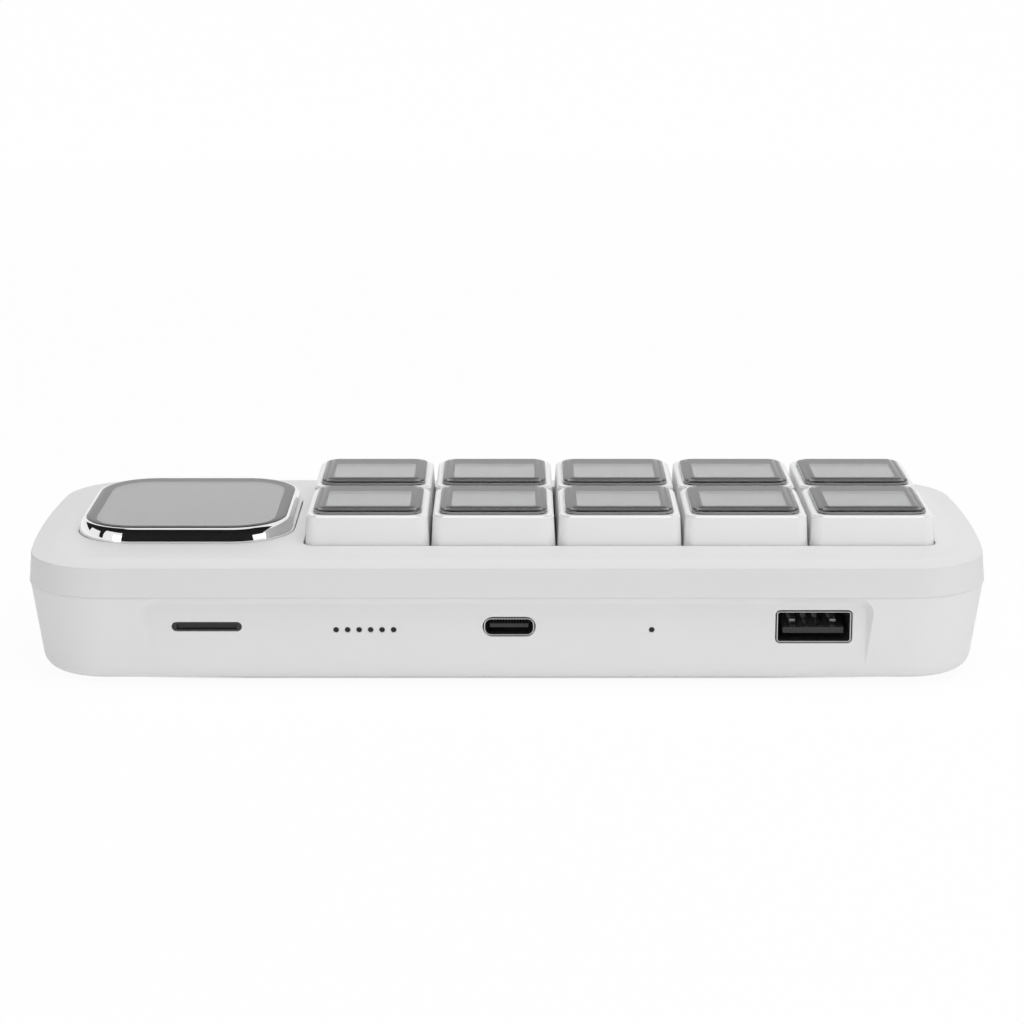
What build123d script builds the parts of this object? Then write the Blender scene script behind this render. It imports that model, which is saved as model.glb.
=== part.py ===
"""Desk control panel with ten picture keys, one square display and a row of sockets along its rear face.

Frame, in millimetres: the origin is the middle of the resting plane, +X is the user's right, +Y points away
from the user towards the rear sockets, and +Z is up.
"""

import os
from math import atan2, copysign, degrees, radians, tan

from build123d import *

os.makedirs("parts", exist_ok=True)

# Key field
key_columns = 5
key_rows = 2
key_pitch = 22.4
key_gap = 0.24
key_travel = 3.0
well_clearance = 0.3
well_corner = 2.4

# Key cap
cap_rise = 5.2
cap_skirt = 1.0
cap_draft = 3.5
cap_corner = 2.2
cap_edge = 0.6
cap_wall = 1.3
cap_floor = 1.0

# Key lens and the small screen below it
lens_width = 19.4
lens_corner = 2.3
lens_rise = 1.1
lens_bevel = 1.95
lens_edge = 0.35
lens_lip = 0.9
lens_depth = 0.5
lens_fit = 0.1
screen_air = 0.25
screen_thickness = 2.0
screen_fit = 0.2

# Margins of the cover around the key field and the display
key_side_margin = 9.5
display_side_margin = 8.05
display_gap = 2.55
front_margin = 9.4
rear_margin = 13.4

# Case
foot_proud = 0.8
lower_height = 15.5
band_height = 5.2
border_rise = 0.75
border_width = 4.2
border_roll = 4.0
band_draft = 5.0
band_edge = 0.15
band_overhang = 0.2
case_draft = 8.0
case_edge = 2.8
end_bow = 2.4
corner_radius = 14.5
wall = 2.0
floor_thickness = 2.0
ceiling = 2.0
tongue_height = 1.4
tongue_thickness = 0.8
tongue_fit = 0.15
well_wall = 1.2
well_wall_drop = 3.2

# Display
bezel_width = 38.9
bezel_depth = 41.3
bezel_corner = 11.0
bezel_rise = 2.5
bezel_ring = 1.4
bezel_foot = 0.25
bezel_draft = 12.0
bezel_crown = 0.6
bezel_seat = 1.0
bezel_fit = 0.1
glass_thickness = 1.2
glass_proud = 0.2
glass_fit = 0.2
glass_ledge = 1.0
panel_air = 0.15
panel_fit = 0.2
display_y = -1.8

# Rear face and its sockets; positions along the face are as seen from behind
port_height = 9.85
port_setback = 1.75
port_face_width = 125.0
port_face_drop = 1.5
port_face_corner = 1.8
port_face_flare = 38.0
port_wall = 2.0
port_fit = 0.15
usb_c_x = 0.4
usb_c_width = 8.94
usb_c_height = 3.26
usb_c_length = 7.4
usb_c_wall = 0.3
usb_c_tongue_width = 6.69
usb_c_tongue_thickness = 0.7
usb_c_tongue_recess = 0.9
usb_a_x = 53.4
usb_a_width = 13.1
usb_a_height = 5.7
usb_a_length = 14.2
usb_a_wall = 0.3
usb_a_tongue_width = 10.6
usb_a_tongue_thickness = 1.1
usb_a_tongue_drop = 1.0
usb_a_tongue_recess = 1.4
usb_a_corner = 0.7
usb_a_leaf_pitch = 6.8
usb_a_leaf_width = 1.3
usb_a_leaf_thickness = 0.4
socket_base = 1.6
card_x = -52.2
card_mouth_width = 12.2
card_mouth_height = 1.7
card_snout_wall = 0.2
card_snout_recess = 0.25
card_socket_width = 14.4
card_socket_length = 14.6
card_socket_top = 0.6
speaker_x = -24.7
speaker_holes = 6
speaker_pitch = 2.0
sound_hole = 1.0
sound_drop = 0.55
speaker_width = 15.0
speaker_height = 9.0
speaker_thickness = 3.5
microphone_x = 25.2
microphone_width = 4.2
microphone_length = 3.6
microphone_height = 2.0

# Circuit board, switch plate and key switches
board_thickness = 1.6
board_side_fit = 0.4
board_clear = 0.6
board_corner = 4.0
chip_size = 9.0
chip_height = 1.0
plate_height = 5.0
plate_thickness = 1.5
plate_border = 2.2
switch_width = 13.8
switch_fit = 0.1
switch_flange = 15.6
switch_flange_thickness = 0.9
switch_top_width = 11.6
switch_upper = 5.2
switch_skin = 1.2
switch_clip = 0.3
switch_clip_height = 1.0
slider_x = 7.2
slider_y = 5.8
slider_fit = 0.15
slider_wing = 1.1
slider_wing_height = 2.0
slider_rest_gap = 0.1
slider_over_travel = 0.25
cross_span = 4.0
cross_arm = 1.25
cross_height = 3.4
cross_fit = 0.05
socket_diameter = 5.6
socket_height = 3.6
spring_diameter = 4.4
spring_wire = 0.45
spring_fit = 0.2
spring_seat = 1.4

# Flat ribbons
ribbon_thickness = 0.2
ribbon_bend = 1.2
key_ribbon_width = 7.0
key_ribbon_slack = 0.9
ribbon_slot_fit = 0.35
ribbon_socket_length = 3.0
ribbon_socket_height = 1.4
display_ribbon_width = 12.0
display_ribbon_y = 9.0

# Snap hooks, board clamps and feet
hook_width = 4.5
hook_thickness = 1.2
hook_drop = 4.0
hook_lug = 0.7
hook_lug_height = 1.2
hook_fit = 0.25
clamp_width = 6.0
clamp_front = 6.3
clamp_rear = 9.1
clamp_front_x = 36.0
clamp_rear_left = 38.0
clamp_rear_right = 9.5
foot_diameter = 10.0
foot_x = 58.0
foot_y = 19.0

# Heights
case_bottom_z = foot_proud
floor_z = case_bottom_z + floor_thickness
seam_z = case_bottom_z + lower_height
crease_z = seam_z + band_height
top_z = crease_z + border_rise
ceiling_z = top_z - ceiling
cap_top_z = top_z + cap_rise
cap_bottom_z = top_z - cap_skirt
lens_top_z = cap_top_z + lens_rise
lens_bottom_z = cap_top_z - lens_depth
screen_top_z = lens_bottom_z - screen_air
screen_bottom_z = screen_top_z - screen_thickness
cap_floor_z = screen_bottom_z - cap_floor
port_z = case_bottom_z + port_height
board_top_z = port_z - usb_c_height / 2
board_bottom_z = board_top_z - board_thickness
plate_top_z = board_top_z + plate_height
plate_bottom_z = plate_top_z - plate_thickness
switch_top_z = plate_top_z + switch_upper
switch_roof_z = switch_top_z - switch_skin
switch_floor_z = board_top_z + switch_skin
shoulder_z = cap_floor_z - socket_height
slider_bottom_z = switch_floor_z + key_travel + slider_over_travel
spring_top_z = shoulder_z - spring_seat
sound_z = port_z - sound_drop
hook_foot_z = seam_z - hook_drop

# Plan sizes and places
key_field_x = key_columns * key_pitch
key_field_y = key_rows * key_pitch
body_length = key_side_margin + key_field_x + display_gap + bezel_width + display_side_margin
body_depth = front_margin + key_field_y + rear_margin
key_field_centre_x = -body_length / 2 + key_side_margin + key_field_x / 2
key_field_centre_y = -body_depth / 2 + front_margin + key_field_y / 2
display_x = body_length / 2 - display_side_margin - bezel_width / 2
cap_width = key_pitch - key_gap
lower_rim = body_depth / 2 - band_overhang
port_face_y = lower_rim - port_setback
floor_rim = lower_rim - wall - (seam_z - floor_z) * tan(radians(case_draft))
port_wall_y = min(port_face_y - port_wall, floor_rim)
pocket_width = lens_width - 2 * lens_lip
hollow_inset = band_overhang + wall + (seam_z - board_bottom_z) * tan(radians(case_draft))

key_places = [
    (
        key_field_centre_x + (column - (key_columns - 1) / 2) * key_pitch,
        key_field_centre_y + ((key_rows - 1) / 2 - row) * key_pitch,
    )
    for row in range(key_rows)
    for column in range(key_columns)
]
hook_inset = band_overhang + wall + hook_drop * tan(radians(case_draft)) + hook_fit
hook_x = port_face_width / 2 + wall + hook_width / 2 + hook_fit
hook_y = body_depth / 2 - hook_inset - hook_thickness / 2
hook_places = [(-hook_x, -hook_y), (0, -hook_y), (hook_x, -hook_y), (-hook_x, hook_y), (hook_x, hook_y)]
clamp_front_y = -body_depth / 2 + clamp_front
clamp_rear_y = body_depth / 2 - clamp_rear
clamp_places = [
    (key_field_centre_x - clamp_front_x, clamp_front_y),
    (key_field_centre_x + clamp_front_x, clamp_front_y),
    (-clamp_rear_left, clamp_rear_y),
    (clamp_rear_right, clamp_rear_y),
]
foot_places = [(foot_x, foot_y), (foot_x, -foot_y), (-foot_x, foot_y), (-foot_x, -foot_y)]

# The rear face, seen from behind, with its origin in the middle at socket height
rear_face = Plane(origin=(0, port_face_y, port_z), x_dir=(-1, 0, 0), z_dir=(0, 1, 0))
rear_wall = Plane(origin=(0, port_wall_y, port_z), x_dir=(-1, 0, 0), z_dir=(0, 1, 0))


def save(piece, name):
    """Labels one finished piece and writes its file."""
    piece.label = name
    export_step(piece, f"parts/{name}.step")


def case_outline():
    """Plan outline of the case: straight long sides, bowed ends and rounded corners."""
    half_length = body_length / 2
    half_depth = body_depth / 2
    end_x = half_length - end_bow
    with BuildSketch() as plan:
        with BuildLine():
            Line((-end_x, -half_depth), (end_x, -half_depth))
            ThreePointArc((end_x, -half_depth), (half_length, 0), (end_x, half_depth))
            Line((end_x, half_depth), (-end_x, half_depth))
            ThreePointArc((-end_x, half_depth), (-half_length, 0), (-end_x, -half_depth))
        make_face()
        fillet(plan.vertices(), corner_radius)
    return plan.sketch


outline = case_outline()


def inset_outline(amount):
    """The case outline moved inwards by an even amount."""
    return offset(outline, amount=-amount, mode=Mode.PRIVATE)


# Top cover: drafted band, crisp crease, softly rolled border and flat top
with BuildPart() as top_cover:
    with BuildSketch(Plane.XY.offset(seam_z)):
        add(outline)
    extrude(amount=band_height + border_rise, taper=band_draft)
    cover_top = top_cover.faces().sort_by(Axis.Z)[-1]
    chamfer(cover_top.edges(), length=border_width, length2=border_rise, reference=cover_top)
    fillet(top_cover.faces().sort_by(Axis.Z)[-1].edges(), border_roll)
    fillet(top_cover.faces().sort_by(Axis.Z)[0].edges(), band_edge)
    with BuildSketch(Plane.XY.offset(seam_z)):
        add(inset_outline(band_overhang + tongue_fit + tongue_thickness + tongue_thickness))
    extrude(amount=ceiling_z - seam_z, mode=Mode.SUBTRACT)
    # Locating tongue around the seam, left out along the port face
    with BuildSketch(Plane.XY.offset(seam_z)):
        add(inset_outline(band_overhang + tongue_fit + tongue_thickness))
        add(inset_outline(band_overhang + tongue_fit + 2 * tongue_thickness), mode=Mode.SUBTRACT)
        with Locations((0, body_depth / 2)):
            Rectangle(port_face_width + 6 * wall, body_depth / 2, mode=Mode.SUBTRACT)
    extrude(amount=-tongue_height)
    # Stiffening wall around the key well
    with BuildSketch(Plane.XY.offset(ceiling_z)):
        with Locations((key_field_centre_x, key_field_centre_y)):
            well_x = key_field_x - key_gap + 2 * well_clearance
            well_y = key_field_y - key_gap + 2 * well_clearance
            RectangleRounded(well_x + 2 * well_wall, well_y + 2 * well_wall, well_corner + well_wall)
    extrude(amount=-well_wall_drop)
    # Ribs that clamp the circuit board down
    with BuildSketch(Plane.XY.offset(board_top_z)):
        with Locations(*clamp_places):
            Rectangle(clamp_width, wall)
    extrude(amount=ceiling_z - board_top_z)
    # Snap hooks: springy legs with a lug at the foot, turned outwards
    with BuildSketch(Plane.XY.offset(hook_foot_z)):
        with Locations(*hook_places):
            Rectangle(hook_width, hook_thickness)
    extrude(amount=ceiling_z - hook_foot_z)
    with BuildSketch(Plane.XY.offset(hook_foot_z)):
        for x, y in hook_places:
            with Locations((x, copysign(hook_y + hook_lug / 2, y))):
                Rectangle(hook_width, hook_thickness + hook_lug)
    extrude(amount=hook_lug_height)
    # Key well
    with BuildSketch(Plane.XY.offset(top_z)):
        with Locations((key_field_centre_x, key_field_centre_y)):
            RectangleRounded(well_x, well_y, well_corner)
    extrude(amount=-(ceiling + well_wall_drop), mode=Mode.SUBTRACT)
    # Display seat with its ribbon slot
    with BuildSketch(Plane.XY.offset(top_z)):
        with Locations((display_x, display_y)):
            RectangleRounded(bezel_width + 2 * bezel_fit, bezel_depth + 2 * bezel_fit, bezel_corner + bezel_fit)
    extrude(amount=-bezel_seat, mode=Mode.SUBTRACT)
    with BuildSketch(Plane.XY.offset(top_z)):
        with Locations((display_x, display_y + display_ribbon_y)):
            Rectangle(display_ribbon_width + 2 * ribbon_slot_fit, ribbon_thickness + 2 * ribbon_slot_fit)
    extrude(amount=-ceiling, mode=Mode.SUBTRACT)
save(top_cover.part, "top_cover")

# Hollow of the lower case, straight along the back of the port wall
with BuildPart() as case_hollow:
    with BuildSketch(Plane.XY.offset(seam_z)):
        add(inset_outline(band_overhang + wall))
    extrude(amount=-(seam_z - floor_z), taper=case_draft)
    with BuildSketch(Plane.XY.offset(floor_z)):
        with Locations((0, port_wall_y + body_depth / 2)):
            Rectangle(port_face_width + 2 * wall, body_depth)
    extrude(amount=lower_height, mode=Mode.SUBTRACT)

# Bottom case: drafted shell with a set-back upright port face
with BuildPart() as bottom_case:
    with BuildSketch(Plane.XY.offset(seam_z)):
        add(inset_outline(band_overhang))
    extrude(amount=-lower_height, taper=case_draft)
    fillet(bottom_case.faces().sort_by(Axis.Z)[0].edges(), case_edge)
    add(case_hollow.part, mode=Mode.SUBTRACT)
    # Rebate for the cover's tongue
    with BuildSketch(Plane.XY.offset(seam_z)):
        add(inset_outline(band_overhang + tongue_thickness))
        with Locations((0, body_depth / 2)):
            Rectangle(port_face_width + 4 * wall, body_depth / 2, mode=Mode.SUBTRACT)
    extrude(amount=-(tongue_height + tongue_fit), mode=Mode.SUBTRACT)
    # Pockets for the lugs of the snap hooks
    with BuildSketch(Plane.XY.offset(hook_foot_z - hook_fit)):
        for x, y in hook_places:
            with Locations((x, copysign(hook_y + hook_lug / 2, y))):
                Rectangle(hook_width + 2 * hook_fit, hook_thickness + hook_lug + 2 * hook_fit)
    extrude(amount=hook_lug_height + hook_fit, mode=Mode.SUBTRACT)
    # Rests under the circuit board and a cradle for the speaker
    with BuildSketch(Plane.XY.offset(floor_z)):
        with Locations((key_field_centre_x, key_field_centre_y)):
            with GridLocations(2 * key_pitch, key_pitch, 3, 1):
                Rectangle(wall, key_field_y / 2)
        with Locations((-card_x, key_field_centre_y)):
            Rectangle(wall, key_field_y / 2)
    extrude(amount=board_bottom_z - floor_z)
    with BuildSketch(Plane.XY.offset(floor_z)):
        with Locations((-speaker_x, port_wall_y - speaker_thickness / 2)):
            Rectangle(speaker_width, speaker_thickness)
    extrude(amount=sound_z - speaker_height / 2 - floor_z)
    with BuildSketch(Plane.XY.offset(floor_z)):
        with Locations((-speaker_x, port_wall_y - speaker_thickness - port_fit - wall / 2)):
            Rectangle(speaker_width, wall)
    extrude(amount=sound_z - floor_z)
    # Port face, set back into the drafted rear wall behind flared edges
    with BuildSketch(rear_face):
        face_top = seam_z - port_face_drop - port_z
        with Locations((0, face_top - lower_height)):
            RectangleRounded(port_face_width, 2 * lower_height, port_face_corner)
    extrude(amount=2 * port_setback, taper=-port_face_flare, mode=Mode.SUBTRACT)
    # Socket openings and sound holes
    with BuildSketch(rear_face):
        with Locations((usb_c_x, 0)):
            SlotOverall(usb_c_width + 2 * port_fit, usb_c_height + 2 * port_fit)
        with Locations((usb_a_x, 0)):
            RectangleRounded(usb_a_width + 2 * port_fit, usb_a_height + 2 * port_fit, usb_a_corner + port_fit)
        with Locations((card_x, 0)):
            SlotOverall(card_mouth_width, card_mouth_height)
        with Locations((microphone_x, -sound_drop)):
            Circle(sound_hole / 2)
        with Locations((speaker_x, -sound_drop)):
            with GridLocations(speaker_pitch, 0, speaker_holes, 1):
                Circle(sound_hole / 2)
    extrude(amount=port_wall_y - port_face_y, mode=Mode.SUBTRACT)
save(bottom_case.part, "bottom_case")

# Rubber feet, stuck on the flat underside
with BuildPart() as rubber_feet:
    with BuildSketch():
        with Locations(*foot_places):
            Circle(foot_diameter / 2)
    extrude(amount=foot_proud)
save(rubber_feet.part, "rubber_feet")

# Main circuit board, notched for the speaker and for the mid-mounted large socket
with BuildPart() as main_board:
    board_rear_y = port_wall_y - board_side_fit
    board_front_y = -body_depth / 2 + hollow_inset + board_side_fit
    board_left = key_field_centre_x - key_field_x / 2 + plate_border
    board_right = display_x + display_ribbon_width / 2 + plate_border
    with BuildSketch(Plane.XY.offset(board_bottom_z)):
        with Locations(((board_left + board_right) / 2, (board_front_y + board_rear_y) / 2)):
            RectangleRounded(board_right - board_left, board_rear_y - board_front_y, board_corner)
        with Locations((-speaker_x, port_wall_y)):
            Rectangle(
                speaker_width + 2 * board_clear,
                2 * (speaker_thickness + port_fit + wall + board_clear),
                mode=Mode.SUBTRACT,
            )
        with Locations((-usb_a_x, port_face_y)):
            Rectangle(usb_a_width + 2 * port_fit, 2 * (usb_a_length + port_fit), mode=Mode.SUBTRACT)
    extrude(amount=board_thickness)
save(main_board.part, "main_board")

# Switch plate: ten square windows and ribbon slots, cut away around the large socket
key_ribbon_y = (switch_flange / 2 + cap_width / 2 - cap_wall) / 2
with BuildPart() as switch_plate:
    with BuildSketch(Plane.XY.offset(plate_bottom_z)):
        with Locations((key_field_centre_x, key_field_centre_y)):
            Rectangle(
                key_field_x - key_pitch + switch_flange + 2 * plate_border,
                key_field_y - key_pitch + switch_flange + 2 * plate_border,
            )
        with Locations(*key_places):
            Rectangle(switch_width + 2 * switch_fit, switch_width + 2 * switch_fit, mode=Mode.SUBTRACT)
        with Locations(*[(x, y + key_ribbon_y) for x, y in key_places]):
            slot_x = key_ribbon_width + 2 * ribbon_slot_fit
            Rectangle(slot_x, ribbon_thickness + 2 * ribbon_slot_fit, mode=Mode.SUBTRACT)
        with Locations((-usb_a_x, port_face_y)):
            Rectangle(usb_a_width + 2 * board_clear, 2 * (usb_a_length + port_fit), mode=Mode.SUBTRACT)
    extrude(amount=plate_thickness)
save(switch_plate.part, "switch_plate")

# Switch housings, ten alike, each on the board and through the plate
upper_height = switch_upper - switch_flange_thickness
upper_draft = degrees(atan2((switch_width - switch_top_width) / 2, upper_height))
with BuildPart() as switch_housings:
    with BuildSketch(Plane.XY.offset(board_top_z)):
        with Locations(*key_places):
            Rectangle(switch_width, switch_width)
    extrude(amount=plate_height)
    with BuildSketch(Plane.XY.offset(plate_bottom_z - switch_clip_height)):
        with Locations(*key_places):
            Rectangle(switch_width + 2 * (switch_fit + switch_clip), switch_width / 3)
    extrude(amount=switch_clip_height)
    with BuildSketch(Plane.XY.offset(plate_top_z)):
        with Locations(*key_places):
            Rectangle(switch_flange, switch_flange)
    extrude(amount=switch_flange_thickness)
    with BuildSketch(Plane.XY.offset(plate_top_z + switch_flange_thickness)):
        with Locations(*key_places):
            Rectangle(switch_width, switch_width)
    extrude(amount=upper_height, taper=upper_draft)
    with BuildSketch(Plane.XY.offset(switch_floor_z)):
        with Locations(*key_places):
            Rectangle(slider_x + 2 * (slider_wing + slider_fit), slider_y + 2 * slider_fit)
    extrude(amount=switch_roof_z - switch_floor_z, mode=Mode.SUBTRACT)
    with BuildSketch(Plane.XY.offset(switch_roof_z)):
        with Locations(*key_places):
            Rectangle(slider_x + 2 * slider_fit, slider_y + 2 * slider_fit)
    extrude(amount=switch_skin, mode=Mode.SUBTRACT)
save(switch_housings.part, "switch_housings")

# Return springs, one inside each switch: plain eight-sided sleeves of the coil's size, because none shows
with BuildPart() as key_springs:
    with BuildSketch(Plane.XY.offset(switch_floor_z)):
        with Locations(*key_places):
            RegularPolygon(spring_diameter / 2, 8)
            RegularPolygon(spring_diameter / 2 - spring_wire, 8, mode=Mode.SUBTRACT)
    extrude(amount=spring_top_z - switch_floor_z)
save(key_springs.part, "key_springs")

# One key at the origin: white cap with a pocket for the screen and a cross socket underneath
with BuildPart() as keycap:
    with BuildSketch(Plane.XY.offset(cap_bottom_z)):
        RectangleRounded(cap_width, cap_width, cap_corner)
    extrude(amount=cap_top_z - cap_bottom_z, taper=cap_draft)
    chamfer(keycap.faces().sort_by(Axis.Z)[-1].edges(), cap_edge)
    with BuildSketch(Plane.XY.offset(cap_top_z)):
        Rectangle(pocket_width, pocket_width)
    extrude(amount=-(cap_top_z - screen_bottom_z), mode=Mode.SUBTRACT)
    with BuildSketch(Plane.XY.offset(cap_bottom_z)):
        Rectangle(cap_width - 2 * cap_wall, cap_width - 2 * cap_wall)
    extrude(amount=cap_floor_z - cap_bottom_z, mode=Mode.SUBTRACT)
    with BuildSketch(Plane.XY.offset(cap_floor_z)):
        Rectangle(socket_diameter, socket_diameter)
    extrude(amount=-socket_height)
    with BuildSketch(Plane.XY.offset(shoulder_z)):
        Rectangle(cross_span + 2 * cross_fit, cross_arm + 2 * cross_fit)
        Rectangle(cross_arm + 2 * cross_fit, cross_span + 2 * cross_fit)
    extrude(amount=socket_height, mode=Mode.SUBTRACT)
    with BuildSketch(Plane.XY.offset(cap_floor_z)):
        with Locations((0, pocket_width / 2 - key_ribbon_slack)):
            Rectangle(key_ribbon_width + 2 * ribbon_slot_fit, 2 * key_ribbon_slack)
    extrude(amount=cap_floor, mode=Mode.SUBTRACT)

# Clear lens: a lip that sits on the cap, bevelled all round, and a plug down into the cap's pocket
with BuildPart() as key_lens:
    with BuildSketch(Plane.XY.offset(cap_top_z)):
        RectangleRounded(lens_width, lens_width, lens_corner)
    extrude(amount=lens_rise)
    lens_top = key_lens.faces().sort_by(Axis.Z)[-1]
    chamfer(lens_top.edges(), length=lens_bevel, length2=lens_rise - lens_edge, reference=lens_top)
    with BuildSketch(Plane.XY.offset(cap_top_z)):
        Rectangle(pocket_width - 2 * lens_fit, pocket_width - 2 * lens_fit)
    extrude(amount=-lens_depth)

# Small screen on the floor of the cap
with BuildPart() as key_screen:
    with BuildSketch(Plane.XY.offset(screen_bottom_z)):
        Rectangle(pocket_width - 2 * screen_fit, pocket_width - 2 * screen_fit)
    extrude(amount=screen_thickness)

# Switch stem: hollow slider with two retaining wings, and the cross that the cap is pushed onto
with BuildPart() as switch_stem:
    with BuildSketch(Plane.XY.offset(slider_bottom_z)):
        Rectangle(slider_x, slider_y)
    extrude(amount=shoulder_z - slider_bottom_z)
    with BuildSketch(Plane.XY.offset(switch_roof_z - slider_rest_gap)):
        Rectangle(slider_x + 2 * slider_wing, slider_y)
    extrude(amount=-slider_wing_height)
    with BuildSketch(Plane.XY.offset(slider_bottom_z)):
        Rectangle(spring_diameter + 2 * spring_fit, spring_diameter + 2 * spring_fit)
    extrude(amount=spring_top_z - slider_bottom_z, mode=Mode.SUBTRACT)
    with BuildSketch(Plane.XY.offset(shoulder_z)):
        Rectangle(cross_span, cross_arm)
        Rectangle(cross_arm, cross_span)
    extrude(amount=cross_height)

# The ten keys, numbered along the rear row from the user's left and then along the front row
key_pieces = {"keycap": keycap, "key_lens": key_lens, "key_screen": key_screen, "switch_stem": switch_stem}
for number, place in enumerate(key_places, start=1):
    for piece_name, master in key_pieces.items():
        save(master.part.moved(Location((*place, 0))), f"{piece_name}_{number}")

# Flat ribbons from the key screens down through the plate to the board, cranked so that they flex with the keys
slot_y = pocket_width / 2 - key_ribbon_slack
with BuildPart() as key_ribbon:
    with BuildSketch(Plane.YZ) as ribbon_side:
        with BuildLine():
            FilletPolyline(
                (slot_y, screen_bottom_z),
                (slot_y, cap_floor_z - ribbon_bend),
                (key_ribbon_y, plate_top_z),
                (key_ribbon_y, board_top_z),
                radius=ribbon_bend,
            )
        trace(line_width=ribbon_thickness)
    extrude(amount=key_ribbon_width / 2, both=True)
with BuildPart() as key_ribbons:
    with Locations(*key_places):
        add(key_ribbon.part)
save(key_ribbons.part, "key_ribbons")

# Display bezel: polished ring with an upright foot, leaning sides, a rounded crown and a ledge for the glass
seat_z = top_z - bezel_seat
bezel_top_z = top_z + bezel_rise
glass_bottom_z = bezel_top_z + glass_proud - glass_thickness
glass_width = bezel_width - 2 * bezel_ring
glass_depth = bezel_depth - 2 * bezel_ring
glass_corner = bezel_corner - bezel_ring
panel_width = glass_width - 2 * glass_ledge
panel_depth = glass_depth - 2 * glass_ledge
panel_corner = glass_corner - glass_ledge
display_centre = (display_x, display_y)
with BuildPart() as display_bezel:
    with BuildSketch(Plane.XY.offset(seat_z)):
        with Locations(display_centre):
            RectangleRounded(bezel_width, bezel_depth, bezel_corner)
    extrude(amount=bezel_seat + bezel_foot)
    with BuildSketch(Plane.XY.offset(top_z + bezel_foot)):
        with Locations(display_centre):
            RectangleRounded(bezel_width, bezel_depth, bezel_corner)
    extrude(amount=bezel_rise - bezel_foot, taper=bezel_draft)
    fillet(display_bezel.faces().sort_by(Axis.Z)[-1].edges(), bezel_crown)
    with BuildSketch(Plane.XY.offset(bezel_top_z)):
        with Locations(display_centre):
            RectangleRounded(glass_width + 2 * glass_fit, glass_depth + 2 * glass_fit, glass_corner + glass_fit)
    extrude(amount=glass_bottom_z - bezel_top_z, mode=Mode.SUBTRACT)
    with BuildSketch(Plane.XY.offset(glass_bottom_z)):
        with Locations(display_centre):
            RectangleRounded(panel_width, panel_depth, panel_corner)
    extrude(amount=seat_z - glass_bottom_z, mode=Mode.SUBTRACT)
save(display_bezel.part, "display_bezel")

with BuildPart() as display_glass:
    with BuildSketch(Plane.XY.offset(glass_bottom_z)):
        with Locations(display_centre):
            RectangleRounded(glass_width, glass_depth, glass_corner)
    extrude(amount=glass_thickness)
save(display_glass.part, "display_glass")

# Display panel, on the floor of the seat with a thin layer of air under the glass
with BuildPart() as display_panel:
    with BuildSketch(Plane.XY.offset(seat_z)):
        with Locations(display_centre):
            RectangleRounded(panel_width - 2 * panel_fit, panel_depth - 2 * panel_fit, panel_corner - panel_fit)
    extrude(amount=glass_bottom_z - panel_air - seat_z)
save(display_panel.part, "display_panel")

# Ribbon from the display panel through the cover to its socket on the board
ribbon_line_y = display_y + display_ribbon_y
ribbon_run_z = board_top_z + ribbon_socket_height / 2
ribbon_end_y = ribbon_line_y - 3 * ribbon_bend
with BuildPart() as display_ribbon:
    with BuildSketch(Plane.YZ.offset(display_x)):
        with BuildLine():
            FilletPolyline(
                (ribbon_line_y, seat_z),
                (ribbon_line_y, ribbon_run_z),
                (ribbon_end_y, ribbon_run_z),
                radius=ribbon_bend,
            )
        trace(line_width=ribbon_thickness)
    extrude(amount=display_ribbon_width / 2, both=True)
save(display_ribbon.part, "display_ribbon")

# Small reversible socket: a drawn tube
with BuildPart() as usb_c_shell:
    with BuildSketch(rear_face):
        with Locations((usb_c_x, 0)):
            SlotOverall(usb_c_width, usb_c_height)
            SlotOverall(usb_c_width - 2 * usb_c_wall, usb_c_height - 2 * usb_c_wall, mode=Mode.SUBTRACT)
    extrude(amount=-usb_c_length)
save(usb_c_shell.part, "usb_c_shell")

# Large flat socket: a folded shell with two spring leaves
with BuildPart() as usb_a_shell:
    with BuildSketch(rear_face):
        with Locations((usb_a_x, 0)):
            RectangleRounded(usb_a_width, usb_a_height, usb_a_corner)
            inner_x = usb_a_width - 2 * usb_a_wall
            inner_z = usb_a_height - 2 * usb_a_wall
            RectangleRounded(inner_x, inner_z, usb_a_corner - usb_a_wall, mode=Mode.SUBTRACT)
    extrude(amount=-usb_a_length)
    with BuildSketch(rear_face.offset(-usb_a_tongue_recess)):
        with Locations((usb_a_x, inner_z / 2 - usb_a_leaf_thickness / 2)):
            with GridLocations(usb_a_leaf_pitch, 0, 2, 1):
                Rectangle(usb_a_leaf_width, usb_a_leaf_thickness)
    extrude(amount=-usb_a_length / 3)
save(usb_a_shell.part, "usb_a_shell")

# Moulded inserts of both sockets: a base that closes the back of the shell and a tongue towards the mouth
with BuildPart() as socket_tongues:
    with BuildSketch(rear_face.offset(-usb_c_length)):
        with Locations((usb_c_x, 0)):
            SlotOverall(usb_c_width - 2 * usb_c_wall, usb_c_height - 2 * usb_c_wall)
    extrude(amount=socket_base)
    with BuildSketch(rear_face.offset(-usb_c_length)):
        with Locations((usb_c_x, 0)):
            Rectangle(usb_c_tongue_width, usb_c_tongue_thickness)
    extrude(amount=usb_c_length - usb_c_tongue_recess)
    with BuildSketch(rear_face.offset(-usb_a_length)):
        with Locations((usb_a_x, 0)):
            RectangleRounded(inner_x, inner_z, usb_a_corner - usb_a_wall)
    extrude(amount=socket_base)
    with BuildSketch(rear_face.offset(-usb_a_length)):
        with Locations((usb_a_x, -usb_a_tongue_drop)):
            Rectangle(usb_a_tongue_width, usb_a_tongue_thickness)
    extrude(amount=usb_a_length - usb_a_tongue_recess)
save(socket_tongues.part, "socket_tongues")

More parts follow.
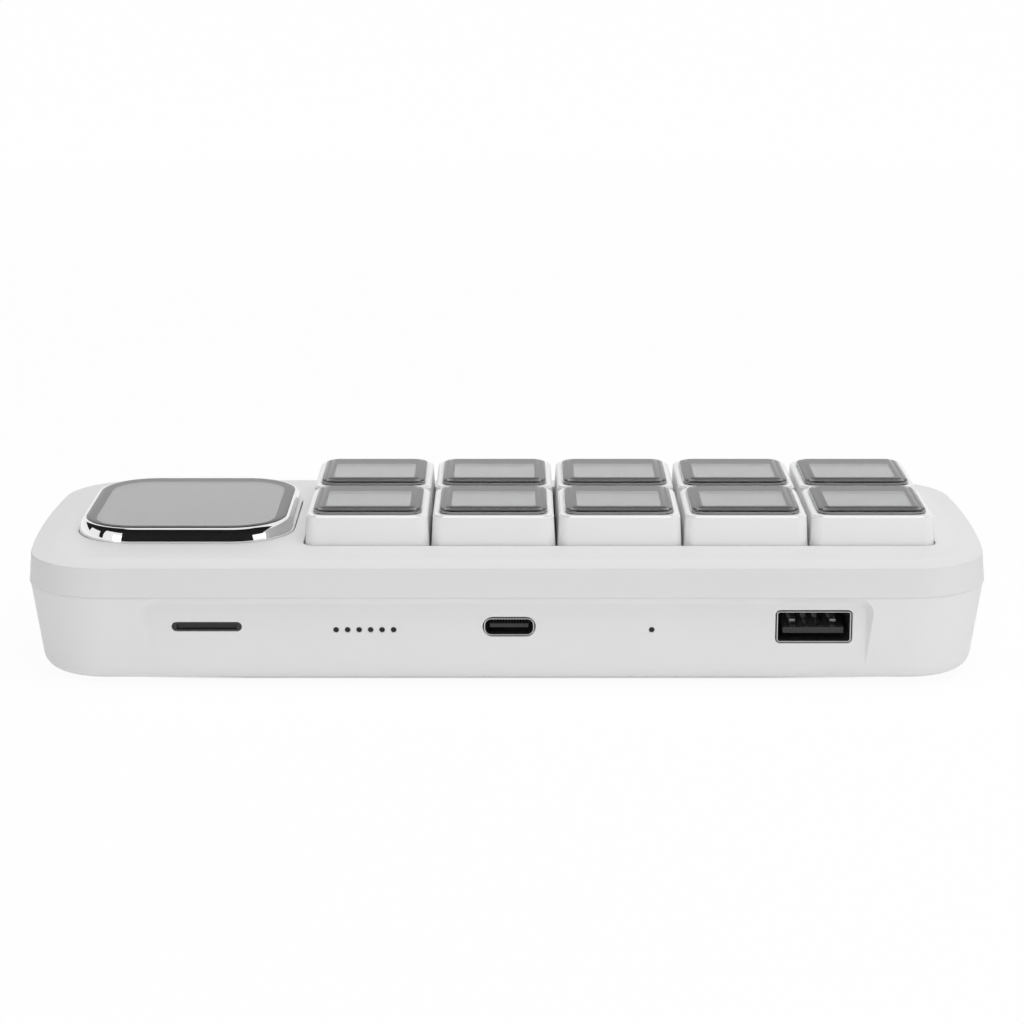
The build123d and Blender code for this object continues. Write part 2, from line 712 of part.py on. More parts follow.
# Memory card socket: box on the board, with a snout that lines the slot in the wall
with BuildPart() as card_socket:
    card_socket_height = port_z + card_mouth_height / 2 + card_socket_top - board_top_z
    with BuildSketch(rear_wall):
        with Locations((card_x, board_top_z - port_z + card_socket_height / 2)):
            Rectangle(card_socket_width, card_socket_height)
    extrude(amount=-card_socket_length)
    snout_x = card_mouth_width - 2 * port_fit
    snout_z = card_mouth_height - 2 * port_fit
    snout_length = port_face_y - port_wall_y - card_snout_recess
    with BuildSketch(rear_wall):
        with Locations((card_x, 0)):
            SlotOverall(snout_x, snout_z)
    extrude(amount=snout_length)
    with BuildSketch(rear_wall.offset(snout_length)):
        with Locations((card_x, 0)):
            Rectangle(snout_x - snout_z, snout_z - 2 * card_snout_wall)
    extrude(amount=socket_base - card_socket_length - snout_length, mode=Mode.SUBTRACT)
save(card_socket.part, "card_socket")

# Speaker against the back of the rear wall, with its sound chamber behind the holes
with BuildPart() as speaker:
    with BuildSketch(rear_wall):
        with Locations((speaker_x, -sound_drop)):
            Rectangle(speaker_width, speaker_height)
    extrude(amount=-speaker_thickness)
    with BuildSketch(rear_wall):
        with Locations((speaker_x, -sound_drop)):
            Rectangle(speaker_width - 2 * wall, speaker_height - 2 * wall)
    extrude(amount=-speaker_thickness / 3, mode=Mode.SUBTRACT)
save(speaker.part, "speaker")

# Microphone in a soft boot on the board, open to the single hole
with BuildPart() as microphone:
    with BuildSketch(rear_wall):
        with Locations((microphone_x, board_top_z - port_z + microphone_height / 2)):
            Rectangle(microphone_width, microphone_height)
    extrude(amount=-microphone_length)
    with BuildSketch(rear_wall):
        with Locations((microphone_x, -sound_drop)):
            Circle(sound_hole / 2)
    extrude(amount=-microphone_length / 2, mode=Mode.SUBTRACT)
save(microphone.part, "microphone")

# Ribbon socket, controller and memory chip on the board
with BuildPart() as board_components:
    with BuildSketch(Plane.XY.offset(board_top_z)):
        with Locations((display_x, ribbon_end_y - ribbon_socket_length / 2)):
            Rectangle(display_ribbon_width + plate_border, ribbon_socket_length)
    extrude(amount=ribbon_socket_height)
    with BuildSketch(Plane.XY.offset(board_top_z)):
        with Locations((display_x, -display_ribbon_y)):
            Rectangle(chip_size, chip_size)
        with Locations((display_x - 1.5 * chip_size, -display_ribbon_y)):
            Rectangle(chip_size * 0.6, chip_size * 0.8)
    extrude(amount=chip_height)
save(board_components.part, "board_components")
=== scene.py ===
"""Looks of a white desk control panel: ten clear-topped picture keys, a square display in a polished bezel and
a row of sockets along the rear face. Every length is in metres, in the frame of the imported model.
"""

import math

import bmesh
import bpy
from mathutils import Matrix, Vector


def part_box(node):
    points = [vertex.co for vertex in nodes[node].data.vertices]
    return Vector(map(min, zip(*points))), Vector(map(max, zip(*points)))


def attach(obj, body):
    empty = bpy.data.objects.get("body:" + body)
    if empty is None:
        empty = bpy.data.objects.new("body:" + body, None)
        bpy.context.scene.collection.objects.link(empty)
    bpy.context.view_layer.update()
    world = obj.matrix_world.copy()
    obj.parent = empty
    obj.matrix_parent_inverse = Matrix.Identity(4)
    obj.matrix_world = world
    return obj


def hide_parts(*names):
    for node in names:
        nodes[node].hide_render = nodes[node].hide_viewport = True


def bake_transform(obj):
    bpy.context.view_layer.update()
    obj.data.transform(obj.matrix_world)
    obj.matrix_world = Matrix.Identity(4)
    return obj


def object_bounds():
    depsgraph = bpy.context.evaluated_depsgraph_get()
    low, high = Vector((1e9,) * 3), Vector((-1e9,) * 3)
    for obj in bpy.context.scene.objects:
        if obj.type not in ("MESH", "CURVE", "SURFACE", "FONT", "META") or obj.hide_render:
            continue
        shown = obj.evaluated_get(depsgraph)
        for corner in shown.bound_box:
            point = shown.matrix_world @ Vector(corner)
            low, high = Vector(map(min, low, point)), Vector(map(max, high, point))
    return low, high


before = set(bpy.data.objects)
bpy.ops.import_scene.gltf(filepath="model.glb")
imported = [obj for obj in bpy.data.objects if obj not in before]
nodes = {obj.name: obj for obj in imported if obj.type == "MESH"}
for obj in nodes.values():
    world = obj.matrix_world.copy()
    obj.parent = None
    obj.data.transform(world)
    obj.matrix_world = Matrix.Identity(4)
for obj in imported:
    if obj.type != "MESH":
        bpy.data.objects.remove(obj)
cad_low, cad_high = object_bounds()

mm = 0.001

# Camera of the photograph, behind the panel and looking at its sockets
camera_place = (-0.0009, 0.4904, 0.1446)
camera_drop = 13.89
camera_lens = 96.5

# Light levels, with 1 as white
ambient_level = 0.42
shaded_side_level = 0.36
backdrop_level = 1.0
mirrored_level = 0.93
floor_glow = 0.15
overhead_level = 1.88
key_level = 1.25
fill_level = 0.68
glint_level = 3.0
shadow_start = 5.9 * mm
shadow_full = 6.9 * mm
shadow_ends = (20.0 * mm, 40.0 * mm)
shadow_depth = 0.85
far_floor = (0.2, 0.8)
floor_near_white = 0.94
floor_far_white = 0.99
floor_paper = 0.95
floor_half = 8.0
floor_drop = 0.02 * mm

# Lamps: the place of each, and its width and height
overhead_place, overhead_size = (-0.08, 0.12, 0.85), (0.9, 0.9)
fill_place, fill_size = (-0.25, 1.0, 0.36), (1.4, 0.50)
key_place, key_size = (-0.605, 0.447, 0.15), (0.40, 0.26)
glint_place, glint_size = (0.55, 0.63, 0.15), (0.22, 0.26)

# Black flag: its arc, its roof, and the height of its hem at turns in degrees from the lens
flag_radius = 0.95
flag_roof_radius = 0.42
flag_roof = 1.2
flag_turns = range(-100, 138, 6)
flag_hem = {-100: 0.75, -64: 0.40, -63: 0.0, 32: 0.0, 33: 0.55, 68: 0.55, 69: 0.06, 77: 0.08,
            78: 0.34, 102: 0.34, 103: 0.12, 138: 0.35}

# Key caps: the top edge of the solid, the finer edge of the real cap, and where its corners turn
cap_solid_edge = 0.6 * mm
cap_fine_edge = 0.28 * mm
cap_corner_place = 8.88 * mm
cap_draft = 3.5
cap_side_reach = 0.2 * mm
ring_slack = 0.01 * mm
weld_gap = 0.001 * mm

# Key lenses: a plug, a thin flange on a low gasket whose grey is painted shade under the lens, a rolled edge up
# to a narrow shoulder and a flat bevel
plug_slack = 0.2 * mm
plug_corner = 0.2 * mm
gasket_rise = 0.5 * mm
gasket_inset = 0.12 * mm
gasket_undercut = 0.18 * mm
gasket_step = 0.036 * mm
gasket_foot_inset = 0.54 * mm
gasket_edge = 0.05 * mm
gasket_clearance = 0.09 * mm
flange_rise = 0.1 * mm
flange_corner = 2.0 * mm
lens_inset = 0.12 * mm
lens_corner = 2.5 * mm
lens_roll = 0.9 * mm
lens_shoulder = 0.1 * mm
lens_bevel = 0.65 * mm
lens_bevel_drop = 0.2 * mm
lens_film = 0.01 * mm
clear_rim = 0.6 * mm
lens_roll_steps = 10

# Return springs and flat ribbons of the keys
key_reach = 11.15 * mm
spring_radius = 2.2 * mm
spring_wire = 0.45 * mm
spring_turns = 6
spring_steps = 12
spring_sides = 6

# Printed frames under the lenses and under the display glass
print_bite = 0.03 * mm
print_depth = 0.06 * mm
key_window_x = 15.0 * mm
key_window_rear = 5.8 * mm
key_window_front = 5.2 * mm
key_window_corner = 0.5 * mm
display_border_x = 1.9 * mm
display_border_rear = 1.7 * mm
display_border_front = 2.5 * mm
display_window_corner = 7.0 * mm
display_print_edge = 0.1 * mm
display_print_steps = 12

# Display bezel: a low upright foot, then a side that leans and rolls over to the crown
bezel_corner = 11.0 * mm
bezel_foot = 0.2 * mm
bezel_roll = 1.1 * mm
bezel_lean = 0.28
glass_gap = 0.06 * mm
glass_ledge = 1.0 * mm
glass_corner = 9.6 * mm
glass_roll_in = 1.0 * mm
glass_roll_down = 0.2 * mm
glass_flat = 0.1 * mm
glass_roll_steps = 8
bezel_roll_steps = 14
bezel_corner_steps = 16

# Sockets and sound holes
shell_gap = 0.08 * mm
shell_wall = 0.3 * mm
shell_lip = 0.08 * mm
shell_lip_steps = 4
small_shell_corner = 1.35 * mm
large_shell_corner = 0.62 * mm
flap_depth = 0.35 * mm
flap_width = 10.6 * mm
flap_height = 0.94 * mm
flap_corner = 0.1 * mm
flap_profile = ((0.1, 0.0), (0.0, 0.1), (0.0, 0.35), (0.05, 0.4))
hole_diameter = 1.0 * mm
hole_drop = 0.55 * mm
hole_pitch = 2.0 * mm
speaker_holes = 6
cloth_depth = 0.25 * mm
cloth_slack = 0.01 * mm
cloth_cup = ((0.12, 0.15), (0.02, 0.0), (0.0, 0.05), (0.0, 0.6))

# Sheet metal in the sockets, in millimetres: bends as depth from the mouth and rise from the middle
leaf_places = (-3.55, 3.55)
leaf_bend = ((2.74, 0.40), (2.85, 0.52), (4.2, 1.0), (7.5, 2.0), (8.6, 2.2))
leaf_width, leaf_sheet = 1.0, 0.16
tip_bend = ((2.74, 0.12), (2.66, 0.20), (2.70, 0.34))
tip_width, tip_sheet = 0.9, 0.1
contact_places = (-3.5, -1.0, 1.0, 3.5)
contact_bend = ((1.9, -0.44), (2.2, -0.40), (5.5, -0.36), (6.5, -0.22), (7.5, -0.36), (11.0, -0.36),
                (11.2, 0.2), (11.25, 2.3))
contact_width, contact_sheet = 1.0, 0.12
row_places = [0.5 * (number - 5.5) for number in range(12)]
row_bend = ((1.3, 0.345), (1.5, 0.36), (4.6, 0.36), (4.8, 0.345))
row_width, row_sheet = 0.28, 0.04

key_numbers = range(1, 11)


# Node helpers

def node(tree, kind, values=None, **settings):
    """Adds one node, sets its options, and sets or links its inputs."""
    made = tree.nodes.new(kind)
    for option, choice in settings.items():
        setattr(made, option, choice)
    for label, value in (values or {}).items():
        feed(tree, made.inputs[label], value)
    return made


def feed(tree, socket, value):
    """Links a socket to another node's output, or sets its plain value."""
    if isinstance(value, bpy.types.NodeSocket):
        tree.links.new(value, socket)
    else:
        socket.default_value = value


def maths(tree, operation, first, second=0.0):
    """One sum on numbers that change over the surface."""
    made = tree.nodes.new("ShaderNodeMath")
    made.operation = operation
    feed(tree, made.inputs[0], first)
    feed(tree, made.inputs[1], second)
    return made.outputs[0]


def spread(tree, value, low, high):
    """Stretches a mask from 0 and 1 to a low and a high value."""
    made = node(tree, "ShaderNodeMapRange", {"Value": value, "To Min": low, "To Max": high})
    return made.outputs["Result"]


def ramp(tree, value, start, full):
    """A mask that goes from 0 to 1 between two values."""
    made = node(tree, "ShaderNodeMapRange", {"Value": value, "From Min": start, "From Max": full})
    return made.outputs["Result"]


def effect(name, inputs, outputs):
    """An empty shader node group with named numbers in and out."""
    group = bpy.data.node_groups.new(name, "ShaderNodeTree")
    for label, value in inputs.items():
        group.interface.new_socket(label, in_out="INPUT", socket_type="NodeSocketFloat").default_value = value
    for label in outputs:
        group.interface.new_socket(label, in_out="OUTPUT", socket_type="NodeSocketFloat")
    return group, group.nodes.new("NodeGroupInput").outputs, group.nodes.new("NodeGroupOutput").inputs


def use(tree, group, **values):
    """Places an effect in a material with its own values and returns its outputs."""
    made = tree.nodes.new("ShaderNodeGroup")
    made.node_tree = group
    for label, value in values.items():
        made.inputs[label.replace("_", " ")].default_value = value
    return made.outputs


def place(tree):
    """The point on the piece, in metres in the model's frame."""
    return node(tree, "ShaderNodeTexCoord").outputs["Object"]


# Shared effects

def make_moulded_grain():
    """Fine spark-eroded grain of a mould, with slow changes in gloss and tone."""
    tree, given, out = effect("moulded grain", {"Grain": 3200.0, "Gloss Low": 0.4, "Gloss High": 0.5},
                              ["Height", "Roughness", "Tone"])
    fine = node(tree, "ShaderNodeTexNoise", {"Vector": place(tree), "Scale": given["Grain"], "Detail": 3.0})
    slow = node(tree, "ShaderNodeTexNoise", {"Vector": place(tree), "Scale": 45.0, "Detail": 4.0})
    feed(tree, out["Height"], fine.outputs["Fac"])
    mixed = maths(tree, "ADD", maths(tree, "MULTIPLY", fine.outputs["Fac"], 0.4),
                  maths(tree, "MULTIPLY", slow.outputs["Fac"], 0.6))
    feed(tree, out["Roughness"], spread(tree, mixed, given["Gloss Low"], given["Gloss High"]))
    feed(tree, out["Tone"], slow.outputs["Fac"])
    return tree


def make_painted_edge_light():
    """How near the surface is to an edge, the mask for the painted highlight and painted shade along moulded
    and stamped edges.
    """
    tree, given, out = effect("painted edge light", {"Width": 0.3 * mm, "Full Turn": 0.25}, ["Edge"])
    rounded = node(tree, "ShaderNodeBevel", {"Radius": given["Width"]}, samples=6)
    facing = node(tree, "ShaderNodeNewGeometry")
    turn = node(tree, "ShaderNodeVectorMath", operation="DOT_PRODUCT")
    feed(tree, turn.inputs[0], rounded.outputs["Normal"])
    feed(tree, turn.inputs[1], facing.outputs["Normal"])
    bent = maths(tree, "SUBTRACT", 1.0, turn.outputs["Value"])
    edge = node(tree, "ShaderNodeMapRange", {"Value": bent, "From Min": 0.02, "From Max": given["Full Turn"]})
    feed(tree, out["Edge"], edge.outputs["Result"])
    return tree


def make_finger_smudge():
    """Faint smears and wiping marks on a polished surface."""
    tree, given, out = effect("finger smudge", {"Gloss Low": 0.02, "Gloss High": 0.08},
                              ["Roughness", "Height"])
    stretched = node(tree, "ShaderNodeMapping", {"Vector": place(tree), "Rotation": (0.0, 0.0, 0.6),
                                                 "Scale": (1.0, 3.5, 1.0)})
    smears = node(tree, "ShaderNodeTexNoise",
                  {"Vector": stretched.outputs["Vector"], "Scale": 90.0, "Detail": 5.0})
    specks = node(tree, "ShaderNodeTexNoise", {"Vector": place(tree), "Scale": 1400.0, "Detail": 2.0})
    mask = maths(tree, "MULTIPLY", smears.outputs["Fac"], specks.outputs["Fac"])
    feed(tree, out["Roughness"], spread(tree, mask, given["Gloss Low"], given["Gloss High"]))
    feed(tree, out["Height"], specks.outputs["Fac"])
    return tree


def make_rolled_lines():
    """Fine lines left by rolling and drawing sheet metal."""
    tree, given, out = effect("rolled lines", {"Gloss Low": 0.18, "Gloss High": 0.34},
                              ["Roughness", "Height"])
    drawn = node(tree, "ShaderNodeMapping", {"Vector": place(tree), "Scale": (1.0, 0.05, 1.0)})
    lines = node(tree, "ShaderNodeTexNoise",
                 {"Vector": drawn.outputs["Vector"], "Scale": 6000.0, "Detail": 3.0})
    feed(tree, out["Roughness"], spread(tree, lines.outputs["Fac"], given["Gloss Low"], given["Gloss High"]))
    feed(tree, out["Height"], lines.outputs["Fac"])
    return tree


def make_dot_grid():
    """Square picture dots of a screen, with the dark lines between them."""
    tree, given, out = effect("dot grid", {"Pitch": 0.12 * mm}, ["Dot"])
    cells = node(tree, "ShaderNodeVectorMath", operation="DIVIDE")
    feed(tree, cells.inputs[0], place(tree))
    pitch = node(tree, "ShaderNodeCombineXYZ", {"X": given["Pitch"], "Y": given["Pitch"], "Z": given["Pitch"]})
    feed(tree, cells.inputs[1], pitch.outputs["Vector"])
    split = node(tree, "ShaderNodeSeparateXYZ", {"Vector": cells.outputs["Vector"]})
    across = maths(tree, "PINGPONG", split.outputs["X"], 0.5)
    along = maths(tree, "PINGPONG", split.outputs["Y"], 0.5)
    nearest = maths(tree, "MINIMUM", across, along)
    line = node(tree, "ShaderNodeMapRange", {"Value": nearest, "From Min": 0.04, "From Max": 0.10})
    feed(tree, out["Dot"], line.outputs["Result"])
    return tree


moulded_grain = make_moulded_grain()
painted_edge_light = make_painted_edge_light()
finger_smudge = make_finger_smudge()
rolled_lines = make_rolled_lines()
dot_grid = make_dot_grid()


# Finishes

def finish(name):
    """A new material with its main shader."""
    material = bpy.data.materials.new(name)
    material.use_nodes = True
    return material, material.node_tree, material.node_tree.nodes["Principled BSDF"].inputs


def blend_colours(tree, mask, low, high):
    """A colour that runs from low to high with a mask."""
    mix = node(tree, "ShaderNodeMix", data_type="RGBA")
    feed(tree, mix.inputs[0], mask)
    for place_number, colour in ((6, low), (7, high)):
        feed(tree, mix.inputs[place_number], (*colour, 1.0) if isinstance(colour, tuple) else colour)
    return mix.outputs[2]


def bump(tree, height, depth, edge_radius=0.0):
    """A relief of real depth from a height mask, over edges that are softened by a small radius."""
    made = node(tree, "ShaderNodeBump", {"Height": height, "Distance": depth})
    if edge_radius:
        soft = node(tree, "ShaderNodeBevel", {"Radius": edge_radius}, samples=6)
        feed(tree, made.inputs["Normal"], soft.outputs["Normal"])
    return made.outputs["Normal"]


def moulded_plastic(name, low, high, gloss_low, gloss_high, grain, depth, edge_width, painted_edge_tone=None, full_turn=0.25):
    """Moulded plastic: fine grain, a slow drift of tone, and soft edges painted to another tone: a painted
    highlight where that tone is lighter, painted shade where it is darker.
    """
    material, tree, shader = finish(name)
    skin = use(tree, moulded_grain, Grain=grain, Gloss_Low=gloss_low, Gloss_High=gloss_high)
    edge = use(tree, painted_edge_light, Width=edge_width, Full_Turn=full_turn)["Edge"]
    colour = blend_colours(tree, skin["Tone"], low, high)
    # Painted edge light: edges turn to the edge tone. It is lighter than the body on the white shells, as a
    # painted highlight, and darker on the caps, as painted shade. Where no edge tone is given, edges take the
    # high tone.
    feed(tree, shader["Base Color"], blend_colours(tree, edge, colour, painted_edge_tone or high))
    feed(tree, shader["Roughness"], skin["Roughness"])
    feed(tree, shader["Normal"], bump(tree, skin["Height"], depth, edge_width))
    return material


def polished_metal(name, low, high, gloss_low, gloss_high, effect_group, depth):
    """Metal with the marks of its finish."""
    material, tree, shader = finish(name)
    shader["Metallic"].default_value = 1.0
    skin = use(tree, effect_group, Gloss_Low=gloss_low, Gloss_High=gloss_high)
    feed(tree, shader["Base Color"], blend_colours(tree, skin["Height"], low, high))
    feed(tree, shader["Roughness"], skin["Roughness"])
    feed(tree, shader["Normal"], bump(tree, skin["Height"], depth))
    return material


def clear_glass(name, bend, tint):
    """Clear moulded or cut glass with faint wiping marks."""
    material, tree, shader = finish(name)
    shader["Base Color"].default_value = (*tint, 1.0)
    shader["Transmission Weight"].default_value = 1.0
    shader["IOR"].default_value = bend
    marks = use(tree, finger_smudge, Gloss_Low=0.0, Gloss_High=0.03)
    feed(tree, shader["Roughness"], marks["Roughness"])
    return material


def screen_face(name, low, high, pitch, gloss_low, gloss_high):
    """A switched-off screen with its grid of picture dots."""
    material, tree, shader = finish(name)
    dots = use(tree, dot_grid, Pitch=pitch)["Dot"]
    marks = use(tree, finger_smudge, Gloss_Low=gloss_low, Gloss_High=gloss_high)
    feed(tree, shader["Base Color"], blend_colours(tree, dots, low, high))
    feed(tree, shader["Roughness"], marks["Roughness"])
    return material


def grey(level):
    """A neutral colour."""
    return (level, level, level)


# The top cover, the lower shell and the caps are one white plastic at three tones: the lower shell is lighter
# as painted light from the floor below, and the caps lighter still as painted light against the shade around
# them.
shell_white = moulded_plastic("shell white", (0.755, 0.755, 0.758), (0.78, 0.78, 0.782), 0.40, 0.52,
                              3200.0, 0.006 * mm, 0.35 * mm, (0.87, 0.87, 0.872), 0.15)
lower_white_painted_light = moulded_plastic("lower shell white painted light", (0.80, 0.80, 0.803), (0.825, 0.825, 0.827), 0.40, 0.52,
                              3200.0, 0.006 * mm, 0.35 * mm, (0.87, 0.87, 0.872), 0.15)
cap_white = moulded_plastic("cap white", (0.90, 0.90, 0.902), (0.925, 0.925, 0.927), 0.28, 0.38,
                            4200.0, 0.003 * mm, 0.08 * mm, (0.86, 0.86, 0.862), 0.10)
print_black = moulded_plastic("print black", grey(0.006), grey(0.012), 0.45, 0.6,
                              5000.0, 0.001 * mm, 0.05 * mm)
insert_black = moulded_plastic("insert black", grey(0.028), grey(0.042), 0.4, 0.55,
                               3000.0, 0.004 * mm, 0.15 * mm)
# The flap's near-black is painted shade for the inside of the card slot.
flap_painted_shade = moulded_plastic("flap painted shade", grey(0.020), grey(0.028), 0.5, 0.65,
                             2600.0, 0.004 * mm, 0.08 * mm)
foot_rubber = moulded_plastic("foot rubber", grey(0.035), grey(0.06), 0.65, 0.8,
                              1500.0, 0.02 * mm, 0.3 * mm)
boot_rubber = moulded_plastic("boot rubber", grey(0.02), grey(0.035), 0.6, 0.8,
                              1800.0, 0.01 * mm, 0.2 * mm)
# The gasket's grey is painted shade, standing in for the shade under the flange of each lens.
gasket_painted_shade = moulded_plastic("gasket painted shade", grey(0.33), grey(0.38), 0.55, 0.7,
                              2200.0, 0.004 * mm, 0.1 * mm)
stem_plastic = moulded_plastic("stem plastic", (0.42, 0.05, 0.04), (0.5, 0.07, 0.05), 0.3, 0.42, 2600.0,
                               0.003 * mm, 0.2 * mm)
board_green = moulded_plastic("board green", (0.012, 0.10, 0.045), (0.02, 0.14, 0.06), 0.25, 0.4, 900.0,
                              0.006 * mm, 0.1 * mm)
ribbon_amber = moulded_plastic("ribbon amber", (0.42, 0.19, 0.03), (0.5, 0.25, 0.05), 0.25, 0.35, 2000.0,
                               0.002 * mm, 0.05 * mm)
bezel_chrome = polished_metal("bezel chrome", grey(0.86), grey(0.90), 0.015, 0.06, finger_smudge, 0.0002 * mm)
socket_steel = polished_metal("socket steel", grey(0.52), grey(0.62), 0.26, 0.40, rolled_lines, 0.002 * mm)
contact_metal = polished_metal("contact metal", grey(0.42), grey(0.52), 0.25, 0.4, rolled_lines, 0.0005 * mm)
plate_steel = polished_metal("plate steel", grey(0.45), grey(0.52), 0.3, 0.45, rolled_lines, 0.003 * mm)
spring_steel = polished_metal("spring steel", grey(0.55), grey(0.62), 0.2, 0.3, rolled_lines, 0.001 * mm)
lens_clear = clear_glass("lens clear", 1.52, (0.985, 0.99, 0.99))
cover_glass = clear_glass("cover glass", 1.51, (0.98, 0.985, 0.985))
screen_gloss = screen_face("screen gloss", grey(0.011), grey(0.016), 0.119 * mm, 0.03, 0.09)
screen_matt = screen_face("screen matt", grey(0.014), grey(0.020), 0.132 * mm, 0.42, 0.52)

slot_finish = {
    "shell_white": shell_white, "cap_white": cap_white, "lens_clear": lens_clear, "cover_glass": cover_glass,
    "screen_black": screen_gloss, "bezel_chrome": bezel_chrome, "socket_steel": socket_steel,
    "insert_black": insert_black, "foot_rubber": foot_rubber, "boot_rubber": boot_rubber,
    "board_green": board_green, "plate_steel": plate_steel, "spring_steel": spring_steel,
    "stem_plastic": stem_plastic, "ribbon_amber": ribbon_amber,
}

for cad_node in nodes.values():
    for seat in cad_node.material_slots:
        seat.material = slot_finish[seat.material.name.split(".")[0]]
nodes["display_panel"].material_slots[0].material = screen_matt
nodes["bottom_case"].material_slots[0].material = lower_white_painted_light


# Added pieces

def rounded_rectangle(width, depth, corner, steps=8):
    """Points around a rounded rectangle with its middle at the origin."""
    points = []
    for turn, (side_x, side_y) in enumerate(((1, 1), (-1, 1), (-1, -1), (1, -1))):
        middle_x = side_x * (width / 2 - corner)
        middle_y = side_y * (depth / 2 - corner)
        for step in range(steps + 1):
            angle = math.radians(90 * (turn + step / steps))
            points.append((middle_x + corner * math.cos(angle), middle_y + corner * math.sin(angle)))
    return points


def add_piece(name, mesh_maker, body, material):
    """Makes a mesh object from a bmesh with a finish of the record. It rides on a body, unless that is None."""
    mesh = bpy.data.meshes.new(name)
    mesh_maker.to_mesh(mesh)
    mesh_maker.free()
    mesh.materials.append(material)
    piece = bpy.data.objects.new(name, mesh)
    bpy.context.scene.collection.objects.link(piece)
    if body:
        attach(piece, body)
    return piece


def level(outline, middle, z):
    """An outline laid flat at a height."""
    return [(middle[0] + x, middle[1] + y, z) for x, y in outline]


def upright(outline, middle, y):
    """An outline stood up across the rear face."""
    return [(middle[0] + x, y, middle[1] + z) for x, z in outline]


def skin_over(outlines, wrapped=False):
    """A closed skin over a row of outlines with as many points as each other: capped at both ends, or wrapped
    round from the last outline to the first."""
    maker = bmesh.new()
    loops = [[maker.verts.new(point) for point in outline] for outline in outlines]
    pairs = list(zip(loops, loops[1:]))
    if wrapped:
        pairs.append((loops[-1], loops[0]))
    else:
        maker.faces.new(loops[0])
        maker.faces.new(loops[-1])
    for lower, upper in pairs:
        for first in range(len(lower)):
            second = (first + 1) % len(lower)
            maker.faces.new((lower[first], lower[second], upper[second], upper[first]))
    bmesh.ops.recalc_face_normals(maker, faces=maker.faces)
    return maker


def smooth(piece, crease):
    """Smooth shading with sharp edges only where faces meet at more than an angle."""
    for face in piece.data.polygons:
        face.use_smooth = True
    piece.data.set_sharp_from_angle(angle=math.radians(crease))


def middle_of(name):
    """The middle of a node in plan."""
    low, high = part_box(name)
    return ((low.x + high.x) / 2, (low.y + high.y) / 2)


def square(width, corner):
    """A rounded square outline."""
    return rounded_rectangle(width, width, corner)


def plug_width(number):
    """The width of the plug of a key lens, over the key's screen."""
    low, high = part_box(f"key_screen_{number}")
    return high.x - low.x + plug_slack


def rolled_edge(reach, drop, steps):
    """Pairs of inset and drop along an edge rolled as a quarter of an ellipse, from its side up to its top."""
    for step in range(steps + 1):
        angle = math.radians(90 * step / steps)
        yield reach * (1 - math.cos(angle)), drop * (1 - math.sin(angle))


def copy_near(cad_name, middle, reach):
    """The part of a solid that lies within reach of a point in plan, as a mesh that can be reshaped."""
    solid = nodes[cad_name].data
    maker = bmesh.new()
    points = {}
    for corner in solid.vertices:
        if max(abs(corner.co.x - middle[0]), abs(corner.co.y - middle[1])) < reach:
            points[corner.index] = maker.verts.new(corner.co)
    for face in solid.polygons:
        if all(corner in points for corner in face.vertices):
            maker.faces.new([points[corner] for corner in face.vertices])
    return maker


def add_keycap(number):
    """The cap of a key with the finer edge around its top, in place of the solid with a broader one."""
    middle_x, middle_y = middle_of(f"keycap_{number}")
    top_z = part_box(f"keycap_{number}")[1].z
    finer = cap_solid_edge - cap_fine_edge
    maker = copy_near(f"keycap_{number}", (middle_x, middle_y), key_reach)
    for point in maker.verts:
        x, y = point.co.x - middle_x, point.co.y - middle_y
        outward = Vector((math.copysign(max(abs(x) - cap_corner_place, 0.0), x),
                          math.copysign(max(abs(y) - cap_corner_place, 0.0), y), 0.0))
        if outward.length < cap_side_reach:
            continue
        outward.normalize()
        if abs(point.co.z - top_z) < ring_slack:
            point.co += outward * finer
        elif abs(point.co.z - top_z + cap_solid_edge) < ring_slack:
            point.co += Vector((0.0, 0.0, finer)) - outward * finer * math.tan(math.radians(cap_draft))
    bmesh.ops.remove_doubles(maker, verts=maker.verts, dist=weld_gap)
    cap = add_piece(f"cap_{number}", maker, f"key_{number}", cap_white)
    smooth(cap, crease=30)
    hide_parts(f"keycap_{number}")


def add_key_lens(number):
    """The clear lens of a key, with its flange and rolled edge, in place of the plainly bevelled solid."""
    low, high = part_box(f"key_lens_{number}")
    middle = middle_of(f"key_lens_{number}")
    gasket_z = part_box(f"keycap_{number}")[1].z + gasket_rise
    width = high.x - low.x
    plug = square(plug_width(number), plug_corner)
    flange = square(width, flange_corner)
    outlines = [level(plug, middle, low.z), level(plug, middle, gasket_z), level(flange, middle, gasket_z),
                level(flange, middle, gasket_z + flange_rise)]
    shoulder_z = high.z - lens_bevel_drop
    roll_height = shoulder_z - gasket_z - flange_rise
    profile = [(inset, shoulder_z - drop)
               for inset, drop in rolled_edge(lens_roll, roll_height, lens_roll_steps)]
    shoulder = lens_roll + lens_shoulder
    profile += [(shoulder, shoulder_z), (shoulder + lens_bevel, high.z)]
    for inset, z in profile:
        outlines.append(level(square(width - 2 * (lens_inset + inset), lens_corner - inset), middle, z))
    lens = add_piece(f"lens_{number}", skin_over(outlines), f"key_{number}", lens_clear)
    smooth(lens, crease=13)
    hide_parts(f"key_lens_{number}")


def add_key_ribbon(number):
    """The flat ribbon of a key's screen, between the switch plate and the cap, as a fixed piece."""
    middle = middle_of(f"key_screen_{number}")
    maker = copy_near("key_ribbons", middle, key_reach)
    bmesh.ops.remove_doubles(maker, verts=maker.verts, dist=weld_gap)
    ribbon = add_piece(f"key_ribbon_{number}", maker, None, ribbon_amber)
    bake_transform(ribbon)
    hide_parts("key_ribbons")


